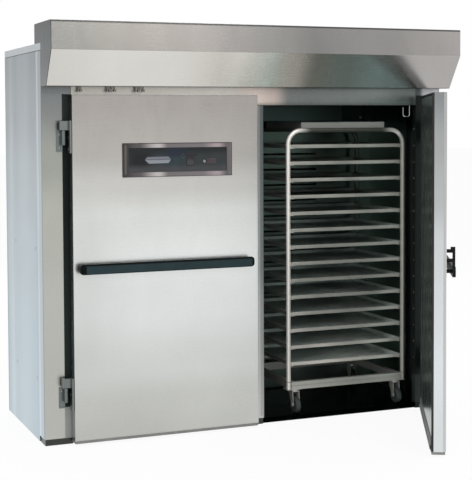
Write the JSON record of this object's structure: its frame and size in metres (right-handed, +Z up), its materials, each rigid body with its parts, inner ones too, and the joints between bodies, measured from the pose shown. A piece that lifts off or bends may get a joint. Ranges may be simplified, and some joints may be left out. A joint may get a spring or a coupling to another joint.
{
  "type": "proofing cabinet",
  "caption": "Stainless roll-in proofing cabinet with hinged insulated doors, an overhanging hood, a door control panel and a wheeled tray rack inside.",
  "frame": {"origin": "centre of the cabinet body's footprint on the floor, on the underside of the floor pan", "axes": "+Z up, -Y out of the front (door) face, +X to the right seen from the front"},
  "size_m": [2.553, 2.0348, 2.37],
  "materials": {
    "front_steel": "brushed, light satin",
    "side_steel": "mill finish, dull",
    "hood_steel": "bright annealed, mirror-like with a fine brush",
    "liner_steel": "smooth, dull",
    "rack_steel": "satin",
    "tray_steel": "smooth, used",
    "hinge_steel": "satin chrome",
    "caster_steel": "zinc plated",
    "element_steel": "heat tinted",
    "black_plastic": "fine grain",
    "handle_plastic": "smooth satin",
    "door_rubber": "matt",
    "sweep_rubber": "matt grey",
    "dark_glass": "smoked, glossy",
    "white_key": "satin",
    "red_lens": "translucent red",
    "motor_paint": "satin paint",
    "caster_tyre": "matt"
  },
  "bodies": {
    "cabinet": {"floor_base": "liner_steel", "left_front_post": "front_steel", "right_front_post": "front_steel", "mullion_post": "front_steel", "header_panel": "front_steel", "left_side_wall": "side_steel", "right_side_wall": "side_steel", "rear_wall": "side_steel", "roof_panel": "side_steel", "hood_shell": "hood_steel", "left_breaker_strip": "black_plastic", "right_breaker_strip": "black_plastic", "ceiling_plenum": "liner_steel", "rear_duct_panel": "liner_steel", "blower_motor": "motor_paint", "air_heater": "element_steel", "humidifier_pan": "tray_steel", "electrical_box": "motor_paint", "power_gland": "black_plastic"},
    "blower": {"blower_wheel": "tray_steel"},
    "left_door": {"left_door_skin": "front_steel", "left_door_inner_panel": "liner_steel", "left_door_gasket": "door_rubber", "left_door_sweep": "sweep_rubber", "left_door_handle": "handle_plastic", "left_door_lower_hinge_strap": "hinge_steel", "left_door_upper_hinge_strap": "hinge_steel", "control_bezel": "front_steel", "control_face": "dark_glass"},
    "power_key_body": {"power_key": "white_key"},
    "start_key_body": {"start_key": "red_lens"},
    "right_door": {"right_door_skin": "front_steel", "right_door_inner_panel": "liner_steel", "right_door_gasket": "door_rubber", "right_door_sweep": "sweep_rubber", "right_door_handle": "handle_plastic", "right_door_lower_hinge_strap": "hinge_steel", "right_door_upper_hinge_strap": "hinge_steel"},
    "rack": {"rack_frame": "rack_steel", "rack_base": "caster_steel", "sheet_tray_01": "tray_steel", "sheet_tray_02": "tray_steel", "sheet_tray_03": "tray_steel", "sheet_tray_04": "tray_steel", "sheet_tray_05": "tray_steel", "sheet_tray_06": "tray_steel", "sheet_tray_07": "tray_steel", "sheet_tray_08": "tray_steel", "sheet_tray_09": "tray_steel", "sheet_tray_10": "tray_steel", "sheet_tray_11": "tray_steel", "sheet_tray_12": "tray_steel", "sheet_tray_13": "tray_steel", "sheet_tray_14": "tray_steel"},
    "front_left_caster": {"front_left_caster_fork": "caster_steel"},
    "front_right_caster": {"front_right_caster_fork": "caster_steel"},
    "front_left_wheel": {"front_left_caster_wheel": "caster_tyre"},
    "front_right_wheel": {"front_right_caster_wheel": "caster_tyre"},
    "rear_left_wheel": {"rear_left_caster_wheel": "caster_tyre"},
    "rear_right_wheel": {"rear_right_caster_wheel": "caster_tyre"}
  },
  "joints": [
    {"name": "left_door_hinge", "type": "hinge", "parent": "cabinet", "child": "left_door", "pos_m": [-1.1585, -0.5125, 1], "axis": [0, 0, -1], "range_deg": [0, 120]},
    {"name": "right_door_hinge", "type": "hinge", "parent": "cabinet", "child": "right_door", "pos_m": [1.1585, -0.5125, 1], "axis": [0, 0, 1], "range_deg": [-62.6, 57.4]},
    {"name": "blower_spin", "type": "hinge", "parent": "cabinet", "child": "blower", "pos_m": [0, 0, 2.05], "axis": [0, 0, 1], "continuous": true},
    {"name": "rack_roll", "type": "slide", "parent": "cabinet", "child": "rack", "axis": [0, -1, 0], "range_m": [-0.03, 0.04]},
    {"name": "front_left_swivel", "type": "hinge", "parent": "rack", "child": "front_left_caster", "pos_m": [0.3255, -0.3435, 0.1], "axis": [0, 0, 1], "continuous": true},
    {"name": "front_right_swivel", "type": "hinge", "parent": "rack", "child": "front_right_caster", "pos_m": [1.0305, -0.3435, 0.1], "axis": [0, 0, 1], "continuous": true},
    {"name": "front_left_wheel_spin", "type": "hinge", "parent": "front_left_caster", "child": "front_left_wheel", "pos_m": [0.3255, -0.3675, 0.0703], "axis": [1, 0, 0], "continuous": true},
    {"name": "front_right_wheel_spin", "type": "hinge", "parent": "front_right_caster", "child": "front_right_wheel", "pos_m": [1.0305, -0.3675, 0.0703], "axis": [1, 0, 0], "continuous": true},
    {"name": "rear_left_wheel_spin", "type": "hinge", "parent": "rack", "child": "rear_left_wheel", "pos_m": [0.3255, 0.2385, 0.0703], "axis": [1, 0, 0], "continuous": true},
    {"name": "rear_right_wheel_spin", "type": "hinge", "parent": "rack", "child": "rear_right_wheel", "pos_m": [1.0305, 0.2385, 0.0703], "axis": [1, 0, 0], "continuous": true},
    {"name": "power_key_press", "type": "slide", "parent": "left_door", "child": "power_key_body", "axis": [0, 1, 0], "range_m": [0, 0.002], "stiffness_N_per_m": 300},
    {"name": "start_key_press", "type": "slide", "parent": "left_door", "child": "start_key_body", "axis": [0, 1, 0], "range_m": [0, 0.002], "stiffness_N_per_m": 300}
  ]
}
